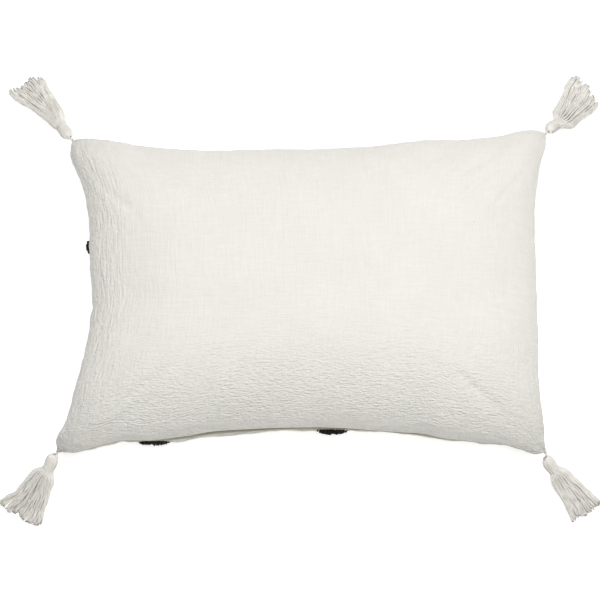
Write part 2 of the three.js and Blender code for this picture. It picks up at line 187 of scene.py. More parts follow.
def plan(u, v, sides):
    """Where the cloth lies seen from above, for u across and v up from -1 to 1."""
    corner = {name: place[:2] for name, place in CORNER.items()}

    def side(start, end, t, name, inward):
        line = corner[start] + (corner[end] - corner[start]) * ((t + 1) / 2)[..., None]
        return line + curve_through(sides[name], t)[..., None] * np.array(inward)

    bottom = side("bottom_left", "bottom_right", u, "bottom", (0, 1))
    top = side("top_left", "top_right", u, "top", (0, -1))
    left = side("bottom_left", "top_left", v, "left", (1, 0))
    right = side("bottom_right", "top_right", v, "right", (-1, 0))
    a = ((u + 1) / 2)[..., None]
    b = ((v + 1) / 2)[..., None]
    low = corner["bottom_left"] * (1 - a) + corner["bottom_right"] * a
    high = corner["top_left"] * (1 - a) + corner["top_right"] * a
    return bottom * (1 - b) + top * b + left * (1 - a) + right * a - low * (1 - b) - high * b


def seam_height(u, v):
    def rise(t):
        return (np.maximum(0, np.abs(t) - DROOP_FROM) / (1 - DROOP_FROM)) ** 2

    return SEAM_Z - DROOP * rise(u) * rise(v)


FLAT_ACROSS, FLAT_UP = 4, 3  # how flat the middle of the section is, across the width and up the height
STEEP_ACROSS, STEEP_UP = 0.38, 0.42  # how steeply it leaves the seam: lower is steeper


def puff(u, v):
    across = np.clip(1 - np.abs(u) ** FLAT_ACROSS, 0, 1)
    up = np.clip(1 - np.abs(v) ** FLAT_UP, 0, 1)
    return across ** STEEP_ACROSS * up ** STEEP_UP


def form(u, v, facing, edge, rise, inset=0.0, sides=SEAM_SIDES):
    """A point of one layer: edge from the seam's height at the seam, and rise from it in the middle."""
    place = plan(u, v, sides)
    middle = seam_height(u * (1 - 2 * inset / FLAT[0]), v * (1 - 2 * inset / FLAT[1]))
    z = middle + facing * (edge + (rise - edge) * puff(u, v))
    return np.stack([place[..., 0] - inset * u, place[..., 1] - inset * v, z], -1)


def soft_floor(z, floor, blend=2.5):
    """z, but never under the floor, with a smooth turn where it lands."""
    return floor + blend * np.logaddexp(0, (z - floor) / blend)


LATTICE = 256
LATTICE_START = 100  # the lattice line at x = 0 or y = 0


def value_noise(seed, x, y, cell):
    """Smooth noise from -1 to 1, with a lattice of the given cell size in millimetres."""
    lattice = np.random.default_rng(seed).uniform(-1, 1, (LATTICE, LATTICE))
    gx = x / cell[0] + LATTICE_START
    gy = y / cell[1] + LATTICE_START
    i = np.floor(gx).astype(int) % (LATTICE - 1)
    j = np.floor(gy).astype(int) % (LATTICE - 1)
    a = smooth_step(gx - np.floor(gx))
    b = smooth_step(gy - np.floor(gy))
    low = lattice[i, j] * (1 - a) + lattice[i + 1, j] * a
    high = lattice[i, j + 1] * (1 - a) + lattice[i + 1, j + 1] * a
    return low * (1 - b) + high * b


# Layers of value noise that wrinkle the cloth: (added to the seed, height, cell across and up it).
LUMPS = [(0, 1.0, (85, 70)), (1, 0.4, (38, 34))]
LEFT_CRINKLES = [(2, 1.0, (4, 22)), (6, 0.5, (3, 8))]
LOW_CRINKLES = [(3, 0.85, (11, 4)), (7, 0.6, (7, 3))]
CRUMPLES = [(8, 1.0, (5.5, 5))]
LONG_SEAM_PUCKERS = [(4, 0.8, (10, 60))]
SHORT_SEAM_PUCKERS = [(5, 0.8, (60, 10))]
# Over what distance each kind fades, going in from the sides, the corners and the seams.
CRINKLE_REACH, CORNER_REACH, PUCKER_REACH = 45, 60, 20
CRINKLE_MIN = 0.08  # share of the crinkles that is left far from the sides
SETTLE = 8  # this close to the seam, all of it settles to nothing
# Creases fan out from each corner: height, how far away they are highest, and how wide that band is.
CREASE_HEIGHT, CREASE_MIDDLE, CREASE_BAND = 0.6, 42, 30


def relief(seed, s, t):
    """How far the cloth stands off its smooth form, for cloth coordinates in millimetres."""

    def layers(parts):
        return sum(height * value_noise(seed + more, s, t, cell) for more, height, cell in parts)

    def near(distance):
        return CRINKLE_MIN + (1 - CRINKLE_MIN) * np.exp(-distance / CRINKLE_REACH)

    half_s, half_t = FLAT / 2
    from_short_seam = half_s - np.abs(s)
    from_long_seam = half_t - np.abs(t)
    near_left, near_low = near(s + half_s), near(t + half_t)
    crinkles = near_left * layers(LEFT_CRINKLES) + near_low * layers(LOW_CRINKLES)
    from_corner = np.hypot(np.maximum(from_short_seam, 0), np.maximum(from_long_seam, 0))
    near_corner = np.exp(-from_corner / CORNER_REACH)
    crumples = (0.5 * np.maximum(near_left, near_low) + 0.6 * near_corner) * layers(CRUMPLES)
    puckers = np.exp(-from_long_seam / PUCKER_REACH) * layers(LONG_SEAM_PUCKERS)
    puckers += np.exp(-from_short_seam / PUCKER_REACH) * layers(SHORT_SEAM_PUCKERS)
    creases = np.zeros_like(s)
    for k, (sx, sy) in enumerate(((-1, 1), (1, 1), (-1, -1), (1, -1))):
        dx, dy = half_s - sx * s, half_t - sy * t
        angle = np.arctan2(dy, dx)
        fan = np.sin(angle * 9 + k * 1.7 + 0.8 * np.sin(angle * 4 + k))
        off_middle = (np.hypot(dx, dy) - CREASE_MIDDLE) / CREASE_BAND
        creases += CREASE_HEIGHT * fan * np.exp(-off_middle ** 2)
    settled = smooth_step(np.minimum(from_short_seam, from_long_seam) / SETTLE)
    return settled * (layers(LUMPS) + crinkles + crumples + puckers + creases)


# ---- meshes

def mesh_object(name, vertices, faces, material, uv=None):
    """vertices are in millimetres. uv has one row per vertex or one per face corner."""
    mesh = bpy.data.meshes.new(name)
    mesh.from_pydata((np.asarray(vertices) * MM).tolist(), [], faces)
    if uv is not None:
        corner_vertex = np.zeros(len(mesh.loops), int)
        mesh.loops.foreach_get("vertex_index", corner_vertex)
        per_corner = uv[corner_vertex] if len(uv) == len(mesh.vertices) else uv
        layer = mesh.uv_layers.new(name="cloth")
        layer.data.foreach_set("uv", per_corner.astype(np.float32).ravel())
    mesh.polygons.foreach_set("use_smooth", [True] * len(mesh.polygons))
    mesh.materials.append(material)
    mesh.update()
    made = bpy.data.objects.new(name, mesh)
    bpy.context.scene.collection.objects.link(made)
    return made


def grid_faces(columns, rows, facing=UP):
    """Quads of a grid whose vertices run along the columns first."""
    i, j = np.meshgrid(np.arange(columns - 1), np.arange(rows - 1))
    a = (j * columns + i).ravel()
    quads = np.stack([a, a + 1, a + columns + 1, a + columns], -1)
    return (quads if facing > 0 else quads[:, ::-1]).tolist()


def unit(vector):
    return vector / np.maximum(np.linalg.norm(vector, axis=-1, keepdims=True), 1e-9)


def grid_normals(points):
    """Normals of a grid of points, shaped (rows, columns, 3)."""
    return unit(np.cross(np.gradient(points, axis=1), np.gradient(points, axis=0)))


ROUND = np.ones(6)
TWO_PLY = np.array([1, 0.8, 0.8, 1, 0.8, 0.8])


def tubes(paths, radius, section=ROUND, pitch=0.0):
    """Closed tubes along paths shaped (count, points, 3). The section turns once in each pitch of length.

    Returns vertices, faces and a uv for each face corner: round the tube, and metres along it.
    """
    paths = np.asarray(paths, float)
    count, steps, _ = paths.shape
    sides = len(section)
    radius = np.broadcast_to(radius, (count, steps))
    tangent = unit(np.gradient(paths, axis=1))
    normal = np.zeros_like(paths)
    aside = np.where(np.abs(tangent[:, 0, 2:]) < 0.9, [[0, 0, 1]], [[1, 0, 0]])
    normal[:, 0] = unit(np.cross(tangent[:, 0], aside))
    for k in range(1, steps):
        along = np.sum(normal[:, k - 1] * tangent[:, k], -1, keepdims=True)
        normal[:, k] = unit(normal[:, k - 1] - tangent[:, k] * along)
    side = np.cross(tangent, normal)
    stretch = np.linalg.norm(np.diff(paths, axis=1), axis=-1)
    length = np.concatenate([np.zeros((count, 1)), np.cumsum(stretch, axis=1)], axis=1)
    twist = 2 * math.pi * length / pitch if pitch else np.zeros_like(length)
    turn = 2 * math.pi * np.arange(sides) / sides + twist[..., None]
    ring = normal[:, :, None] * np.cos(turn)[..., None] + side[:, :, None] * np.sin(turn)[..., None]
    vertices = paths[:, :, None] + ring * (radius[..., None] * section)[..., None]

    base = (np.arange(count) * steps * sides)[:, None, None]
    row = (np.arange(steps - 1) * sides)[None, :, None]
    i = np.arange(sides)[None, None, :]
    j = (i + 1) % sides
    quads = np.stack([base + row + i, base + row + j, base + row + sides + j, base + row + sides + i], -1)
    low, high = length[:, :-1, None], length[:, 1:, None]
    a, b, low, high = np.broadcast_arrays(i / sides, (i + 1) / sides, low, high)
    quad_uv = np.stack([a, low, b, low, b, high, a, high], -1)
    first = base[:, 0] + np.arange(sides - 1, -1, -1)
    last = base[:, 0] + (steps - 1) * sides + np.arange(sides)
    cap_uv = np.zeros((2 * count * sides, 2))
    faces = quads.reshape(-1, 4).tolist() + first.tolist() + last.tolist()
    uv = np.concatenate([quad_uv.reshape(-1, 2), cap_uv]) * [1, MM]
    return vertices.reshape(-1, 3), faces, uv


def add_modifier(piece, kind, **values):
    modifier = piece.modifiers.new(kind.title(), kind)
    for name, value in values.items():
        setattr(modifier, name, value)
    return modifier


def apply_modifiers(piece):
    """Leaves the piece with the mesh that its modifiers made."""
    evaluated = piece.evaluated_get(bpy.context.evaluated_depsgraph_get())
    mesh = bpy.data.meshes.new_from_object(evaluated)
    piece.modifiers.clear()
    piece.data = mesh


# ---- materials

class Shader:
    """A material's node tree, with short ways to add nodes to it."""

    def __init__(self, name):
        self.material = bpy.data.materials.new(name)
        self.material.use_nodes = True
        self.tree = self.material.node_tree
        self.surface = self.tree.nodes["Principled BSDF"]

    def node(self, kind, inputs=None, **settings):
        made = self.tree.nodes.new(kind)
        for key, value in settings.items():
            setattr(made, key, value)
        for key, value in (inputs or {}).items():
            self.feed(made, key, value)
        return made

    def feed(self, target, key, value):
        if isinstance(value, bpy.types.NodeSocket):
            self.tree.links.new(value, target.inputs[key])
        else:
            target.inputs[key].default_value = value

    def math(self, operation, a, b=0.0):
        return self.node("ShaderNodeMath", {0: a, 1: b}, operation=operation).outputs[0]

    def plus(self, a, b):
        return self.math("ADD", a, b)

    def times(self, a, b):
        return self.math("MULTIPLY", a, b)

    def place(self):
        return self.node("ShaderNodeTexCoord").outputs["Object"]

    def scaled(self, vector, scale):
        return self.node("ShaderNodeMapping", {"Vector": vector, "Scale": scale}).outputs[0]

    def noise(self, vector, detail=2.0, roughness=0.5, scale=1.0):
        values = {"Vector": vector, "Scale": scale, "Detail": detail, "Roughness": roughness}
        return self.node("ShaderNodeTexNoise", values).outputs["Fac"]

    def ramp(self, value, low, high):
        """0 below low, 1 above high, and smooth between."""
        values = {"Value": value, "From Min": low, "From Max": high}
        return self.node("ShaderNodeMapRange", values, interpolation_type="SMOOTHSTEP").outputs["Result"]

    def mix(self, share, a, b):
        made = self.node("ShaderNodeMix", data_type="RGBA")
        for key, value in ((0, share), (6, a), (7, b)):
            self.feed(made, key, value)
        return made.outputs[2]

    def bump(self, height, distance, strength=1.0):
        values = {"Height": height, "Distance": distance, "Strength": strength}
        return self.node("ShaderNodeBump", values).outputs[0]

    def weave(self, uv, pitch):
        """A plain weave's over and under, from -1 to 1."""
        split = self.node("ShaderNodeSeparateXYZ", {0: uv})
        across = self.math("SINE", self.times(split.outputs[0], math.pi / pitch))
        along = self.math("SINE", self.times(split.outputs[1], math.pi / pitch))
        return self.times(across, along)

    def finish(self, **values):
        for key, value in values.items():
            self.feed(self.surface, key.replace("_", " "), value)
        return self.material


def cloth_uv(shader):
    return shader.node("ShaderNodeUVMap", uv_map="cloth").outputs[0]


COTTON_DARK, COTTON_LIGHT = (0.88, 0.862, 0.80, 1), (0.915, 0.902, 0.845, 1)
SEED_FLECK = (0.42, 0.30, 0.18, 1)
# Painted shade: the olive that the front panel darkens to along its lower seam, where the groove lies in
# shade, and how much of it is laid on.
SEAM_SHADE_COLOUR = (0.56, 0.55, 0.40, 1)
SEAM_SHADE_SHARE = 0.9
THREAD_PITCH = 0.00085
# Where each effect starts and where it is full, in metres on the flat cloth.
LEFT_SLACK, LOW_SLACK, SEAM_SHADE_SPAN = (-0.19, -0.29), (-0.01, -0.21), (-0.1965, -0.2015)
# How strongly each part of the weave stands out, next to its single threads.
RIDGES, LEFT_CRINKLE, LOW_CRINKLE, RUMPLE, WEAVE = 1.1, 7.0, 8.0, 4.5, 0.12


def slub_cotton(name, painted_seam_shade=False):
    """Handloom cotton: a plain weave whose threads swell and thin along their length.

    It is crinkled along the left side and the lower side, where the cover is slack. A copy of it has
    painted shade: its colour darkens to olive along the lower seam.
    """
    shader = Shader(name)
    uv = cloth_uv(shader)
    split = shader.node("ShaderNodeSeparateXYZ", {0: uv})
    left = shader.ramp(split.outputs[0], *LEFT_SLACK)
    low = shader.ramp(split.outputs[1], *LOW_SLACK)

    def streaks(across, up):
        return shader.noise(shader.scaled(uv, (across, up, 1)), detail=3)

    warp = shader.noise(shader.scaled(uv, (900, 30, 1)), detail=2)
    weft = shader.noise(shader.scaled(uv, (30, 900, 1)), detail=2)
    ridges = shader.plus(streaks(330, 34), streaks(34, 330))
    left_crinkle = shader.times(streaks(330, 60), shader.times(left, LEFT_CRINKLE))
    low_crinkle = shader.times(streaks(190, 480), shader.times(low, LOW_CRINKLE))
    slack = shader.times(shader.math("MAXIMUM", left, low), RUMPLE)
    layers = (
        shader.times(ridges, RIDGES),
        shader.plus(left_crinkle, low_crinkle),
        shader.plus(warp, weft),
        shader.times(streaks(230, 260), slack),
        shader.times(shader.weave(uv, THREAD_PITCH), WEAVE),
    )
    height = layers[0]
    for layer in layers[1:]:
        height = shader.plus(height, layer)
    blotch = streaks(14, 18)
    tone = shader.plus(shader.times(ridges, 0.5), shader.times(blotch, 0.5))
    colour = shader.mix(shader.ramp(tone, 0.6, 1.0), COTTON_DARK, COTTON_LIGHT)
    fleck = shader.ramp(shader.noise(shader.scaled(uv, (260, 420, 1)), detail=1), 0.79, 0.82)
    colour = shader.mix(shader.times(fleck, 0.5), colour, SEED_FLECK)
    # Painted shade: the colour darkens to olive along the lower seam's roll, where the groove is shaded.
    if painted_seam_shade:
        shade_mask = shader.ramp(split.outputs[1], *SEAM_SHADE_SPAN)
        colour = shader.mix(shader.times(shade_mask, SEAM_SHADE_SHARE), colour, SEAM_SHADE_COLOUR)
    return shader.finish(
        Base_Color=colour,
        Roughness=0.92,
        Normal=shader.bump(height, 0.0010, 0.6),
        Sheen_Weight=0.1,
        Sheen_Roughness=0.5,
        Specular_IOR_Level=0.2,
    )


def yarn(name, dark, light, fuzz):
    """Soft spun yarn, with fine fibres that run along its plies."""
    shader = Shader(name)
    uv = cloth_uv(shader)
    fibre = shader.noise(shader.scaled(uv, (9, 260, 1)), detail=3)
    place = shader.place()
    hair = shader.noise(place, detail=4, scale=1500)
    patch = shader.noise(place, detail=2, scale=80)
    height = shader.plus(fibre, shader.times(hair, 0.6))
    tone = shader.plus(shader.times(fibre, 0.5), shader.times(patch, 0.5))
    return shader.finish(
        Base_Color=shader.mix(shader.ramp(tone, 0.35, 0.65), dark, light),
        Roughness=0.95,
        Normal=shader.bump(height, 0.0004, 0.6),
        Sheen_Weight=fuzz,
        Sheen_Roughness=0.6,
        Specular_IOR_Level=0.15,
    )


def plain_weave(name, colour, pitch, roughness):
    """A fine, even plain weave, for ticking and zip tape."""
    shader = Shader(name)
    uv = cloth_uv(shader)
    patch = shader.noise(shader.scaled(uv, (25, 25, 1)), detail=3)
    darker = tuple(0.9 * channel for channel in colour[:3]) + (1,)
    return shader.finish(
        Base_Color=shader.mix(shader.ramp(patch, 0.3, 0.7), darker, colour),
        Roughness=roughness,
        Normal=shader.bump(shader.weave(uv, pitch), 0.0002, 0.5),
        Sheen_Weight=0.1,
    )


def fibre_fill():
    shader = Shader("fibre_fill")
    wisp = shader.noise(shader.place(), detail=6, roughness=0.7, scale=120)
    return shader.finish(
        Base_Color=shader.mix(wisp, (0.80, 0.80, 0.78, 1), (0.93, 0.93, 0.92, 1)),
        Roughness=1.0,
        Normal=shader.bump(wisp, 0.002, 0.8),
        Sheen_Weight=0.3,
    )


def coil_nylon():
    shader = Shader("coil_nylon")
    patch = shader.noise(shader.place(), detail=2, scale=300)
    return shader.finish(
        Base_Color=shader.mix(patch, (0.66, 0.64, 0.58, 1), (0.76, 0.74, 0.67, 1)),
        Roughness=0.4,
        Normal=shader.bump(patch, 0.0001, 0.3),
    )


def zip_paint():
    """Off-white paint on cast metal, rubbed thin in places."""
    shader = Shader("zip_paint")
    place = shader.place()
    orange_peel = shader.noise(place, detail=2, scale=900)
    rubbed = shader.ramp(shader.noise(place, detail=5, scale=420), 0.62, 0.7)
    return shader.finish(
        Base_Color=shader.mix(rubbed, (0.78, 0.76, 0.69, 1), (0.52, 0.50, 0.46, 1)),
        Roughness=shader.plus(shader.times(orange_peel, 0.2), 0.28),
        Metallic=shader.times(rubbed, 0.6),
        Normal=shader.bump(orange_peel, 0.00005, 0.4),
    )


def pale_floor():
    shader = Shader("pale_floor")
    patch = shader.noise(shader.place(), detail=3, scale=2)
    return shader.finish(
        Base_Color=shader.mix(patch, (0.93, 0.93, 0.93, 1), (0.95, 0.95, 0.95, 1)),
        Roughness=0.9,
        Specular_IOR_Level=0.1,
        Emission_Color=(1, 1, 1, 1),
        Emission_Strength=FLOOR_GLOW,
    )


SLUB_COTTON = slub_cotton("slub_cotton")
# The front panel's cotton has painted shade along its lower seam.
SEAM_SHADED_COTTON = slub_cotton("slub_cotton_front_seam_shaded", painted_seam_shade=True)
BLACK_YARN = yarn("black_yarn", (0.004, 0.004, 0.004, 1), (0.022, 0.022, 0.02, 1), 0.08)
TASSEL_YARN = yarn("tassel_yarn", (0.82, 0.79, 0.72, 1), (0.93, 0.91, 0.86, 1), 0.15)
TICKING = plain_weave("ticking", (0.9, 0.9, 0.88, 1), 0.0006, 0.85)
ZIP_TAPE = plain_weave("zip_tape", (0.76, 0.74, 0.66, 1), 0.0008, 0.8)
FIBRE_FILL = fibre_fill()
COIL_NYLON = coil_nylon()
ZIP_PAINT = zip_paint()

bpy.ops.mesh.primitive_grid_add(x_subdivisions=8, y_subdivisions=8, size=FLOOR_SIZE)
floor_piece = bpy.context.object
floor_piece.name = "floor"
floor_piece.data.materials.append(pale_floor())

# ---- black tufts: where they go

TUFT_LENGTH, TUFT_WIDTH = 35, 12
TUFT_STEP = np.array([222, 85])
TUFT_FIRST = np.array([-184, -195])
TUFT_EDGE = 0.965  # how near a seam a tuft's middle may lie, as a share of the way out to it
PRESSED = 3.4  # how thick a tuft is where the pillow's weight lies on it
PRESS_FADE = 9  # how far past a pressed tuft the cloth is still held up
TUFTS = [name for name in frame["nodes"] if name.startswith("tuft_row")]


def tuft_place(name):
    """The middle of a tuft on the flat cloth, from its row and column."""
    row, column = (int(part) - 1 for part in name.removeprefix("tuft_row").split("_"))
    place = TUFT_FIRST + TUFT_STEP * [column - (row % 2) / 2, row]
    return np.clip(place, -TUFT_EDGE * FLAT / 2, TUFT_EDGE * FLAT / 2)


# ---- cover panels

ROLL = 1.6  # radius at which each panel turns in to the seam
ROLL_ARC = 1.5  # about how much cloth each millimetre of the turn takes
ALLOWANCE, ALLOWANCE_TURN = 3.0, 0.4  # the seam allowance inside, and the share of it that comes first
# Steps of the tucked edge: share of the roll's height that is left, of the roll inwards, of the allowance.
ROLLED = [(1 - math.sin(a), 1 - math.cos(a), 0) for a in np.radians((22.5, 45, 67.5, 90))]
TUCK = np.array([(1, 0, 0)] + ROLLED + [(0, 1, ALLOWANCE_TURN), (0, 1, 1)])
SEAM_OPEN = 0.15
ZIP_OPEN = (2.5, 3.9)  # half the gap between the lips in front of the zip: at their edge, and deeper
ZIP_FADE = 16  # how long the gap takes to close past each end
PULL_END = node_box("zip_pull")[1][0] + 1
TAPE_GAP = 0.3  # between the allowance and the zip tape
BLUNT, BLUNT_REACH = 0.8, 4.0  # how far each corner's point is rounded off, and how far that reaches
PROUD_AT_SEAM = 0.3  # share of FRONT_PROUD that is there at the seam itself
PROUD_TURN = 0.01  # share of the way from the seam to the middle in which the rest of it comes
FLOOR_GAP = 0.5  # how far the front panel's middle lies off the floor
ON_FLOOR = 1  # a tuft that starts lower than this lies on the floor
PANEL_LINES = (241, 165)


def eased(count):
    """Places from -1 to 1, closer together near the ends."""
    return np.sin(np.linspace(-1, 1, count) * math.pi / 2)


def flat_scale(axis, facing):
    """Places from -1 to 1 along one axis, and how far from its middle each is on the flat cloth."""
    place = eased(601)
    middle = np.zeros_like(place)
    u, v = (place, middle) if axis == 0 else (middle, place)
    line = form(u, v, facing, ROLL, RISE[facing])
    arc = np.concatenate([[0], np.cumsum(np.linalg.norm(np.diff(line, axis=0), axis=1))])
    return place, (arc / arc[-1] - 0.5) * FLAT[axis]


def along_zip(x):
    """From 1 where the lips are parted to 0 past the ends of the zip and of its closed pull."""
    start = smooth_step((x - ZIP_LOW[0] + ZIP_FADE) / ZIP_FADE)
    return start * smooth_step((PULL_END + ZIP_FADE - x) / ZIP_FADE)


def low_side(v, start):
    """From 0 at start, a place between the middle and the lower seam, to 1 at that seam."""
    return smooth_step((-v - start) / (1 - start))


def panel_form(u, v, facing):
    """The smooth face of a cover panel, up to where its edge starts to roll in."""
    place = plan(u, v, SEAM_SIDES)
    near_zip = along_zip(place[..., 0])
    edge = ROLL + SEAM_OPEN + (ZIP_OPEN[0] - SEAM_OPEN) * near_zip * low_side(v, 0.8)
    points = form(u, v, facing, edge, RISE[facing])
    if facing < 0:
        proud = curve_through(FRONT_PROUD, place[..., 0]) * low_side(v, 0.6)
        share = PROUD_AT_SEAM + (1 - PROUD_AT_SEAM) * smooth_step((1 + v) / PROUD_TURN)
        points[..., 1] -= proud * share
    from_corner = (1 - np.abs(u)) * FLAT[0] / 2 + (1 - np.abs(v)) * FLAT[1] / 2
    blunt = BLUNT * np.exp(-from_corner / BLUNT_REACH)
    points[..., 0] -= np.sign(u) * blunt
    points[..., 1] -= np.sign(v) * blunt
    return points


def floor_under(x, y):
    """The height that the front panel rests at: the floor, or a pressed tuft."""
    height = np.full_like(x, FLOOR_GAP)
    for name in TUFTS:
        low, high = node_box(name)
        if low[2] > ON_FLOOR:
            continue
        middle = (low + high) / 2
        across = (np.abs(x - middle[0]) - TUFT_LENGTH / 2) / PRESS_FADE
        along = (np.abs(y - middle[1]) - TUFT_WIDTH / 2) / PRESS_FADE
        over_tuft = smooth_step(1 - across) * smooth_step(1 - along)
        height = np.maximum(height, FLOOR_GAP + PRESSED * over_tuft)
    return height


def past_edge(count):
    """For each line of a grid with tucked edges, how many steps past the face's edge it is."""
    steps = len(TUCK) - 1
    return np.concatenate([np.arange(steps, 0, -1), np.zeros(count, int), np.arange(1, steps + 1)])


def panel(name, facing, columns, rows, seed, moved):
    """One cover panel: its crowned face, its rolled edge, and the allowance inside the seam.

    moved says how far the simulated cloth moved at a place on the flat cloth. Returns the piece, and the
    points of its face.
    """
    past_u, past_v = past_edge(columns), past_edge(rows)
    lines = eased(columns), eased(rows)
    scales = [flat_scale(axis, facing) for axis in (0, 1)]
    tucked = len(TUCK) - 1
    s, t = (np.pad(np.interp(line, *scale), tucked, "edge") for line, scale in zip(lines, scales))
    u, v = (np.pad(line, tucked, "edge") for line in lines)
    u, v = np.meshgrid(u, v)
    s, t = np.meshgrid(s, t)
    past_u, past_v = np.meshgrid(past_u, past_v)

    points = panel_form(u, v, facing)
    face = slice(tucked, -tucked)
    inner = points[face, face]
    inner += moved(s, t)[face, face]
    out = grid_normals(inner) * facing
    inner += out * relief(seed, s, t)[face, face][..., None]
    points[face, face] = inner

    past = np.maximum(past_u, past_v)
    near_zip = along_zip(points[..., 0]) * (v <= -1) * (past_v > 0)
    deeper = TUCK[past, 2]
    left = TUCK[past, 0] * ROLL
    gap = (ZIP_OPEN[1] - ZIP_OPEN[0]) * near_zip * smooth_step(deeper / ALLOWANCE_TURN)
    points[..., 2] -= facing * (ROLL - left) * (past > 0)
    points[..., 2] += facing * gap
    inward_u = TUCK[past_u, 1] * ROLL + TUCK[past_u, 2] * ALLOWANCE
    inward_v = TUCK[past_v, 1] * ROLL + TUCK[past_v, 2] * ALLOWANCE
    points[..., 0] -= np.sign(u) * inward_u
    points[..., 1] -= np.sign(v) * inward_v
    to_tape = np.maximum(0, ZIP_LOW[1] - TAPE_GAP - points[..., 1])
    points[..., 1] += near_zip * to_tape * smooth_step(deeper)

    if facing < 0:
        points[..., 2] = soft_floor(points[..., 2], floor_under(points[..., 0], points[..., 1]))
    s = s + np.sign(u) * inward_u * ROLL_ARC
    t = t + np.sign(v) * inward_v * ROLL_ARC
    uv = np.stack([s, t], -1).reshape(-1, 2) * MM
    height, width = points.shape[:2]
    cotton = SLUB_COTTON if facing > 0 else SEAM_SHADED_COTTON
    piece = mesh_object(name, points.reshape(-1, 3), grid_faces(width, height, facing), cotton, uv)
    add_modifier(piece, "SOLIDIFY", thickness=CLOTH * MM, offset=-1, use_even_offset=False)
    apply_modifiers(piece)
    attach(piece, "cover")
    return piece, points[face, face]


SIM_CELL = 6.0
SIM_FRAMES = 24
SIM_SETTINGS = {
    "quality": 6,
    "mass": 0.15,
    "tension_stiffness": 20,
    "compression_stiffness": 8,
    "shear_stiffness": 4,
    "bending_stiffness": 0.25,
    "air_damping": 3,
    "use_pressure": True,
    "uniform_pressure_force": 4,
    "vertex_group_mass": "seam",
}
SIM_LIMIT = 7.0  # the most that the simulation may move the cloth
# The simulation's share near a corner, where that share starts to rise, and over what distance it does.
CORNER_SHARE, CORNER_FROM, CORNER_FADE = 0.1, 50, 130


def inflate(facing):
    """Fits the flat-cut cloth inside its seam and blows it up, with Blender's cloth simulation.

    Returns a function of the place on the flat cloth that says how far the cloth moved there.
    """
    counts = [int(size / SIM_CELL) | 1 for size in FLAT]  # odd, so a line runs down the middle
    flat = [np.linspace(-size / 2, size / 2, count) for size, count in zip(FLAT, counts)]
    scales = [flat_scale(axis, facing) for axis in (0, 1)]
    u, v = np.meshgrid(*(np.interp(line, scale[1], scale[0]) for line, scale in zip(flat, scales)))
    start = panel_form(u, v, facing)
    cut = np.stack([*np.meshgrid(*flat), np.zeros_like(u)], -1)
    piece = mesh_object("inflating", start.reshape(-1, 3), grid_faces(*counts, facing), SLUB_COTTON)
    piece.shape_key_add(name="start")
    key = piece.shape_key_add(name="cut")
    key.data.foreach_set("co", (cut * MM).astype(np.float32).ravel())
    seam = piece.vertex_groups.new(name="seam")
    edge = np.zeros(u.shape, bool)
    edge[[0, -1], :] = True
    edge[:, [0, -1]] = True
    seam.add(np.flatnonzero(edge.ravel()).tolist(), 1.0, "REPLACE")
    cloth = piece.modifiers.new("Cloth", "CLOTH")
    settings = cloth.settings
    for name, value in SIM_SETTINGS.items():
        setattr(settings, name, value)
    settings.rest_shape_key = piece.data.shape_keys.key_blocks["cut"]
    settings.effector_weights.gravity = 0
    cloth.collision_settings.use_collision = False
    cloth.point_cache.frame_start = 1
    cloth.point_cache.frame_end = SIM_FRAMES
    scene = bpy.context.scene
    for step in range(1, SIM_FRAMES + 1):
        scene.frame_set(step)
    evaluated = piece.evaluated_get(bpy.context.evaluated_depsgraph_get())
    end = np.zeros(u.size * 3, np.float32)
    evaluated.data.vertices.foreach_get("co", end)
    scene.frame_set(1)
    bpy.data.objects.remove(piece)
    shift = end.reshape(start.shape) / MM - start
    far = np.linalg.norm(shift, axis=-1, keepdims=True)
    shift *= SIM_LIMIT * np.tanh(far / SIM_LIMIT) / np.maximum(far, 1e-6)
    from_corner = np.hypot(*(size / 2 - np.abs(line) for size, line in zip(FLAT, np.meshgrid(*flat))))
    rise = smooth_step((from_corner - CORNER_FROM) / CORNER_FADE)
    shift *= (CORNER_SHARE + (1 - CORNER_SHARE) * rise)[..., None]

    def moved(s, t):
        x = (s - flat[0][0]) / (flat[0][1] - flat[0][0])
        y = (t - flat[1][0]) / (flat[1][1] - flat[1][0])
        i = np.clip(np.floor(x).astype(int), 0, counts[0] - 2)
        j = np.clip(np.floor(y).astype(int), 0, counts[1] - 2)
        a = smooth_step(x - i)[..., None]
        b = smooth_step(y - j)[..., None]
        low = shift[j, i] * (1 - a) + shift[j, i + 1] * a
        high = shift[j + 1, i] * (1 - a) + shift[j + 1, i + 1] * a
        return low * (1 - b) + high * b

    return moved


back_panel, _ = panel("back_panel_cloth", UP, *PANEL_LINES, seed=11, moved=inflate(UP))
front_panel, front_face = panel("front_panel_cloth", DOWN, *PANEL_LINES, seed=41, moved=inflate(DOWN))
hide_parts("back_panel")
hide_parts("front_panel")

# ---- insert

INSERT_INSET = 14
INSERT_ROOM = 7.0  # how much less the insert rises from the seam than the cover does
INSERT_FLOOR = 5.8  # how far the insert's underside stays off the floor
INSERT_EDGE = 0.5
SHELL = 0.8
FILLING_INSET = INSERT_INSET + 2.5
FILLING_ROOM = INSERT_ROOM + 2.2
FILLING_FLOOR = INSERT_FLOOR + 1.8
INSERT_LUMP, LUMP_CELL = 0.8, (60, 50)
CALM_EDGE = 0.1  # share of the way in from the edge over which the lumps rise
INSERT_LINES = (97, 65)


def insert_layer(facing, inset, room, floor, seed):
    """A crowned layer inside the cover, a little lumpy away from its edge."""
    u, v = np.meshgrid(*map(eased, INSERT_LINES))
    points = form(u, v, facing, INSERT_EDGE, RISE[facing] - room, inset, INSERT_SIDES)
    edge = smooth_step((1 - np.maximum(np.abs(u), np.abs(v))) / CALM_EDGE)
    points[..., 2] += INSERT_LUMP * edge * value_noise(seed, points[..., 0], points[..., 1], LUMP_CELL)
    if facing < 0:
        points[..., 2] = soft_floor(points[..., 2], floor)
    return u, v, points


